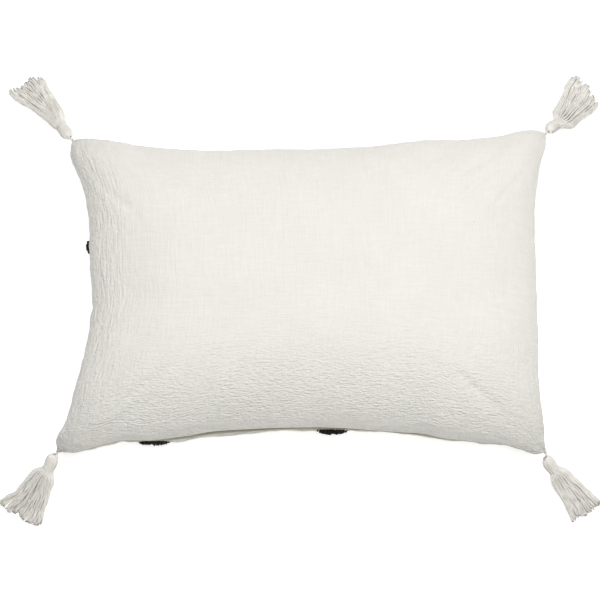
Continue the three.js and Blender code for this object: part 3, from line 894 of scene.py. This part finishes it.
def insert_shell(name, facing, seed):
    u, v, points = insert_layer(facing, INSERT_INSET, INSERT_ROOM, INSERT_FLOOR, seed)
    uv = np.stack([u, v], -1).reshape(-1, 2) * FLAT / 2 * MM
    piece = mesh_object(name, points.reshape(-1, 3), grid_faces(*INSERT_LINES, facing), TICKING, uv)
    add_modifier(piece, "SOLIDIFY", thickness=SHELL * MM, offset=-1)
    apply_modifiers(piece)
    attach(piece, "cover")
    return piece


def insert_filling(name, seed):
    """A closed body of fibre, between two crowned layers that share their edge."""
    columns, rows = INSERT_LINES
    _, _, top = insert_layer(UP, FILLING_INSET, FILLING_ROOM, 0, seed)
    _, _, bottom = insert_layer(DOWN, FILLING_INSET, FILLING_ROOM, FILLING_FLOOR, seed)
    layer = columns * rows
    index = np.arange(layer).reshape(rows, columns)
    rim = np.concatenate([index[0, :-1], index[:-1, -1], index[-1, :0:-1], index[:0:-1, 0]])
    after = np.roll(rim, -1)
    sides = np.stack([rim, rim + layer, after + layer, after], -1)
    faces = grid_faces(columns, rows) + (np.array(grid_faces(columns, rows, DOWN)) + layer).tolist()
    vertices = np.concatenate([top.reshape(-1, 3), bottom.reshape(-1, 3)])
    piece = mesh_object(name, vertices, faces + sides.tolist(), FIBRE_FILL)
    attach(piece, "cover")
    return piece


shell_back = insert_shell("insert_shell_back_cloth", UP, seed=61)
shell_front = insert_shell("insert_shell_front_cloth", DOWN, seed=62)
filling = insert_filling("insert_filling_fibre", seed=63)
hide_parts("insert_shell_back")
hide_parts("insert_shell_front")
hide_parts("insert_filling")

# ---- black tufts

LOOP_STEP = (2.1, 2.3)
LOOP_RADIUS = 0.95
LOOP_HEIGHT, LOOP_HEIGHTS = 6.4, (0.7, 1.1)  # and the least and most of it that a loop has
LOOP_WIDTHS = (0.9, 1.5)
LOOP_ROOT = 1.6  # how deep under the cloth each loop starts
LOOP_LEAN = 1.6
LOOP_STRAY = (0.6, 0.5)
LOOP_POINTS = 9
EVEN_WITHIN = 0.9  # share of the pillow within which the grid of tufts is even on its face
SEAM_ROOM = 3  # no loop starts nearer to a seam than this
SLOPE_STEP = 4  # how far to each side the slope of the cloth under a loop is measured
FLOOR_CLEAR = 0.1


def tuft(name, seed):
    """A dash of short yarn loops, drawn through the front panel."""
    rng = np.random.default_rng(seed)
    scales = [flat_scale(axis, DOWN) for axis in (0, 1)]
    middle = tuft_place(name)
    columns, rows = int(TUFT_LENGTH / LOOP_STEP[0]), int(TUFT_WIDTH / LOOP_STEP[1])
    for axis, (place, flat) in enumerate(scales):
        share = middle[axis] / FLAT[axis] * 2
        if abs(share) < EVEN_WITHIN:
            middle[axis] = np.interp(share, place, flat)
    s, t = np.meshgrid(*(
        (np.arange(count) - (count - 1) / 2) * step for count, step in zip((columns, rows), LOOP_STEP)
    ))
    share_s, share_t = np.abs(s) / (TUFT_LENGTH / 2), np.abs(t) / (TUFT_WIDTH / 2)
    inside = share_s ** 2.5 + share_t ** 2 < 1
    taper = (1 - share_s[inside] ** 2) * (1 - 0.5 * share_t[inside] ** 3)
    s = s[inside] + rng.uniform(-LOOP_STRAY[0], LOOP_STRAY[0], inside.sum()) + middle[0]
    t = t[inside] + rng.uniform(-LOOP_STRAY[1], LOOP_STRAY[1], inside.sum()) + middle[1]
    limit = FLAT / 2 - SEAM_ROOM
    s = np.clip(s, -limit[0], limit[0])
    t = np.clip(t, -limit[1], limit[1])

    def on_panel(s, t):
        u = np.interp(s, scales[0][1], scales[0][0])
        v = np.interp(t, scales[1][1], scales[1][0])
        i = (np.arcsin(u) * 2 / math.pi + 1) / 2 * (front_face.shape[1] - 1)
        j = (np.arcsin(v) * 2 / math.pi + 1) / 2 * (front_face.shape[0] - 1)
        return front_face[np.rint(j).astype(int), np.rint(i).astype(int)]

    foot = on_panel(s, t)
    across = unit(on_panel(s + SLOPE_STEP, t) - on_panel(s - SLOPE_STEP, t))
    along = unit(on_panel(s, t + SLOPE_STEP) - on_panel(s, t - SLOPE_STEP))
    out = unit(np.cross(along, across))
    lean = rng.uniform(-LOOP_LEAN, LOOP_LEAN, (len(s), 2))
    width = rng.uniform(*LOOP_WIDTHS, len(s))[:, None, None]
    height = (rng.uniform(*LOOP_HEIGHTS, len(s)) * taper ** 0.7)[:, None, None] * LOOP_HEIGHT
    angle = np.linspace(0, math.pi, LOOP_POINTS)[None, :, None]
    turn = rng.uniform(0, math.pi, len(s))[:, None, None]
    step = across[:, None] * np.cos(turn) + along[:, None] * np.sin(turn)
    tip = across * lean[:, :1] + along * lean[:, 1:]
    path = foot[:, None] - out[:, None] * LOOP_ROOT + step * width * np.cos(angle)
    path = path + (out[:, None] * height + tip[:, None]) * np.sin(angle) ** 0.8
    flattened = LOOP_RADIUS + 0.15 + 0.6 * rng.uniform(0, 1, path.shape[:2])
    path[..., 2] = np.maximum(path[..., 2], flattened)
    vertices, faces, uv = tubes(path, LOOP_RADIUS)
    vertices[:, 2] = np.maximum(vertices[:, 2], FLOOR_CLEAR)
    piece = mesh_object(name + "_loops", vertices, faces, BLACK_YARN, uv)
    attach(piece, "cover")
    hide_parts(name)


for number, name in enumerate(sorted(TUFTS)):
    tuft(name, seed=100 + number)

# ---- tassels

STRAND = 1.25
STRAND_PITCH = 9.0
STRAND_STEP = 1.8
# Strands in each ring of the tied bundle, and the ring's share of its radius.
RINGS = ((27, 1.0), (25, 0.82), (21, 0.62), (17, 0.4), (12, 0.18))
HEAD_START, HEAD_END, WRAP_END = 4.5, 23.0, 27.0
# Radius of the tied bundle, to the outer strands' middles: (distance from the corner, radius).
BUNDLE = [
    (4.5, 0.3), (6, 3.3), (8.5, 5.2), (11.5, 6.3), (15, 6.7), (19, 6.5), (22, 6.0), (24, 5.8),
    (27, 6.1), (34, 8.0),
]
LOCKS = 6
LOCK_PULL = 0.2  # how far each lock of the skirt draws together
RAGGED = 1.4
SKIRT_HALF_THICKNESS = 4.6
# The skirt starts to spread this far above the wrap's end, and takes its full width over this length.
SPREAD_ABOVE, SPREAD_OVER = 5, 13
WAVE = 0.7  # how far the strands of the skirt wave from side to side
WAVE_LENGTH = (16, 36)
FLATTENED = 0.75  # share of its thickness that the bundle keeps as it spreads
THIN_END, THINNED = 0.05, 0.25  # the last share of each strand, and how much thinner it ends
WRAP_TURNS, WRAP_THREAD, WRAP_RADIUS = 5, 0.62, 6.7
CORD_START, CORD_END = -3.5, 8.2
CORD_PLY, CORD_PITCH = 1.25, 8.0
# Each tassel is tied and combed by hand. Distances are along it from the corner:
#   sway: how far its middle strays to the left of its heading
#   half_width: of the skirt
#   cut: how far the cut end stands past the tassel's length, for places across it from -1 to 1
COMBED = {
    "top_left": {
        "sway": [(0, 0), (20, 0), (28, -0.6), (44, -3), (60, -2.4), (80, -1.2), (110, 1)],
        "half_width": [(27, 8.6), (40, 12), (60, 15), (80, 18.5), (98, 23), (112, 23.6)],
        "cut": [(-1, -10), (-0.7, -4), (0, -1), (0.45, -1), (0.6, 2), (0.85, 2.5), (1, -1)],
    },
    "top_right": {
        "sway": [(-4, 0), (0, -0.2), (16, -1), (28, -4), (48, -4), (72, -2.4), (90, 0)],
        "half_width": [(27, 13), (32, 16.4), (48, 19), (60, 21.4), (74, 24.8), (94, 26)],
        "cut": [(-1, -12), (-0.7, -8), (-0.3, -4), (0.15, 2.5), (0.45, -2.5), (0.75, 4), (1, -6)],
    },
    "bottom_left": {
        "sway": [(-4, 0), (0, -0.2), (8, -1), (24, 0.8), (48, 0.8), (66, 2.2), (82, 1.6), (95, 0)],
        "half_width": [(27, 10), (36, 15), (48, 17.4), (60, 20.6), (74, 23.4), (84, 28), (94, 31)],
        "cut": [(-1, -1), (-0.4, 3), (0, -1), (0.2, 1), (0.65, -1.5), (0.9, -3.5), (1, -7)],
    },
    "bottom_right": {
        "sway": [(-4, 0), (0, -0.6), (9, -4.2), (20, -4.8), (28, -3.6), (48, -3.2), (60, -2), (94, -1.8)],
        "half_width": [(27, 9.5), (36, 13.2), (48, 15.4), (60, 17), (72, 18.8), (94, 24)],
        "cut": [(-1, -3), (-0.5, -2), (0, 1.5), (0.5, 0), (1, 0.5)],
    },
}


def tassel_axes(corner):
    """The corner's point, the directions along, to the left of and out of its tassel, and its length."""
    pivot = CORNER[corner]
    flop_axis = JOINTS[corner + "_tassel_flop"]["axis"]
    heading = np.array([-flop_axis[1], flop_axis[0], 0])
    low, high = node_box(corner + "_tassel_wrap")
    middle = (low + high) / 2 - pivot
    along = unit(heading * np.hypot(middle[0], middle[1]) + [0, 0, middle[2]])
    left = np.array([-heading[1], heading[0], 0])
    out = np.cross(along, left)
    length = ((node_points(corner + "_tassel_yarn") - pivot) @ along).max()
    return pivot, along, left, out, length


def strands(corner, length, rng):
    """Where every strand runs: distances along the tassel, to its left and out of it."""
    combed = COMBED[corner]
    angle = np.concatenate([2 * math.pi * (np.arange(n) + rng.uniform()) / n for n, _ in RINGS])
    ring = np.concatenate([np.full(n, share) for n, share in RINGS])
    count = len(angle)
    ring = ring * rng.uniform(0.93, 1.07, count)
    near_a = ring * np.cos(angle)
    near_b = ring * np.sin(angle)
    rank = np.argsort(np.argsort(near_a + rng.uniform(-0.1, 0.1, count)))
    end_a = rank / (count - 1) * 2 - 1
    lock_middle = (np.arange(LOCKS) + 0.5) / LOCKS * 2 - 1 + rng.uniform(-0.1, 0.1, LOCKS)
    lock = np.argmin(np.abs(end_a[:, None] - lock_middle), axis=1)
    reach = length + curve_through(combed["cut"], end_a)
    reach += RAGGED * (rng.uniform(-1, 1, LOCKS)[lock] + rng.uniform(-1, 1, count))
    end_a = end_a * (1 - LOCK_PULL) + lock_middle[lock] * LOCK_PULL
    end_b = near_b * FLATTENED + rng.uniform(-0.3, 0.3, LOCKS)[lock]

    run = HEAD_START + (reach[:, None] - HEAD_START) * np.linspace(0, 1, int(length / STRAND_STEP))
    skirt = np.clip((run - WRAP_END) / (length - WRAP_END), 0, 1)
    spread = smooth_step((run - WRAP_END + SPREAD_ABOVE) / SPREAD_OVER)
    bundle = curve_through(BUNDLE, run)
    half_a = bundle * (1 - spread) + (curve_through(combed["half_width"], run) - STRAND) * spread
    half_b = bundle * (1 - skirt) + SKIRT_HALF_THICKNESS * skirt
    mixed = smooth_step(skirt * 1.6)
    a = half_a * (near_a[:, None] * (1 - mixed) + end_a[:, None] * mixed)
    b = half_b * (near_b[:, None] * (1 - mixed) + end_b[:, None] * mixed)
    wave = rng.uniform(*WAVE_LENGTH, count)[:, None]
    phase = rng.uniform(0, 2 * math.pi, (2, count))[..., None]
    a = a + WAVE * skirt * np.sin(2 * math.pi * run / wave + phase[0])
    b = b + WAVE * skirt * np.sin(2 * math.pi * run / wave * 1.3 + phase[1])
    return run, a, b


def tassel(corner, seed):
    """One corner's tassel: the tied and combed strands, the thread round its neck, and its cord."""
    rng = np.random.default_rng(seed)
    pivot, along, left, out, length = tassel_axes(corner)

    def place(run, a, b):
        a = a + curve_through(COMBED[corner]["sway"], run)
        return pivot + run[..., None] * along + a[..., None] * left + b[..., None] * out

    def yarn_piece(suffix, body, node, tube):
        vertices, faces, uv = tube
        piece = mesh_object(f"{corner}_tassel_{suffix}", vertices, faces, TASSEL_YARN, uv)
        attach(piece, f"{corner}_{body}")
        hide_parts(f"{corner}_tassel_{node}")

    path = place(*strands(corner, length, rng))
    path[..., 2] = soft_floor(path[..., 2], STRAND + 0.3, 0.6)
    near_end = smooth_step((np.linspace(0, 1, path.shape[1]) - 1 + THIN_END) / THIN_END)
    thick = STRAND * (1 - THINNED * near_end)
    yarn_piece("strands", "tassel", "yarn", tubes(path, thick, TWO_PLY, STRAND_PITCH))

    turn = np.linspace(0, 2 * math.pi * WRAP_TURNS, 24 * WRAP_TURNS + 1)
    run = np.linspace(HEAD_END + WRAP_THREAD, WRAP_END - WRAP_THREAD, len(turn))
    path = place(run, WRAP_RADIUS * np.cos(turn), WRAP_RADIUS * np.sin(turn))
    yarn_piece("wrap_thread", "tassel", "wrap", tubes(path[None], WRAP_THREAD, TWO_PLY, 4))

    run = np.linspace(CORD_START, CORD_END, 40)
    turn = 2 * math.pi * run / CORD_PITCH
    apart = 0.9 * CORD_PLY
    plies = [place(run, side * apart * np.cos(turn), side * apart * np.sin(turn)) for side in (-1, 1)]
    yarn_piece("cord_twist", "cord", "cord", tubes(plies, CORD_PLY, TWO_PLY, 5))


for number, corner in enumerate(CORNERS):
    tassel(corner, seed=200 + number)

# ---- zip

COIL_PITCH = 1.5
COIL_WIRE = 0.32
COIL_MARGIN = 0.5  # plain tape at each end of a coil
COIL_STEPS = 10  # points in each turn
COIL_DEPTH = 0.55
COIL_BACK, COIL_REACH = 0.5, 0.2  # how far a coil is set back from the middle, and reaches past its node
TAPE_LINES = (161, 9)
TAPE_THICKNESS = 0.45
TAPE_MARGIN = 0.25
TAPE_WAVE, TAPE_WAVE_LENGTH = 0.12, 9
METAL_PIECES = ("zip_slider", "zip_pull", "zip_top_stop_back", "zip_top_stop_front", "zip_bottom_stop")
METAL_EDGE = 0.15


def zip_coil(name, facing, offset):
    """Nylon teeth: one wire wound in flattened turns that reach past the middle of the zip."""
    low, high = node_box(name)
    middle = (low + high) / 2
    turns = (high[0] - low[0] - 2 * COIL_MARGIN) / COIL_PITCH
    angle = np.linspace(0, 2 * math.pi * turns, int(turns * COIL_STEPS))
    x = low[0] + COIL_MARGIN + angle / (2 * math.pi) * COIL_PITCH + offset
    reach = (high[2] - low[2]) / 2 + COIL_REACH
    z = middle[2] - facing * COIL_BACK + reach * np.cos(angle)
    y = middle[1] + COIL_DEPTH * np.sin(angle)
    vertices, faces, uv = tubes(np.stack([x, y, z], -1)[None], COIL_WIRE)
    piece = mesh_object(name + "_teeth", vertices, faces, COIL_NYLON, uv)
    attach(piece, "cover")
    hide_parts(name)


def zip_tape(name, facing):
    """A woven strip that leans back as it leaves the coil, and waves a little along its far edge."""
    low, high = node_box(name)
    columns, rows = TAPE_LINES
    x, across = np.meshgrid(np.linspace(low[0], high[0], columns), np.linspace(0, 1, rows))
    lean = low[1] + TAPE_MARGIN + (high[1] - low[1] - 2 * TAPE_MARGIN) * across
    wave = TAPE_WAVE * np.sin(x / TAPE_WAVE_LENGTH) * across
    up = (high[2] - low[2]) * across
    z = low[2] + up if facing > 0 else high[2] - up
    points = np.stack([x, lean + wave, z], -1).reshape(-1, 3)
    uv = np.stack([x, up], -1).reshape(-1, 2) * MM
    piece = mesh_object(name + "_cloth", points, grid_faces(columns, rows, facing), ZIP_TAPE, uv)
    add_modifier(piece, "SOLIDIFY", thickness=TAPE_THICKNESS * MM, offset=0)
    apply_modifiers(piece)
    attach(piece, "cover")
    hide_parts(name)


zip_coil("zip_coil_back", UP, offset=0)
zip_coil("zip_coil_front", DOWN, offset=COIL_PITCH / 2)
zip_tape("zip_tape_back", UP)
zip_tape("zip_tape_front", DOWN)
for name in METAL_PIECES:
    part = frame["nodes"][name]
    for slot in part.material_slots:
        slot.material = ZIP_PAINT
    bevel = add_modifier(part, "BEVEL", width=METAL_EDGE * MM, segments=2, limit_method="ANGLE")
    bevel.angle_limit = math.radians(40)
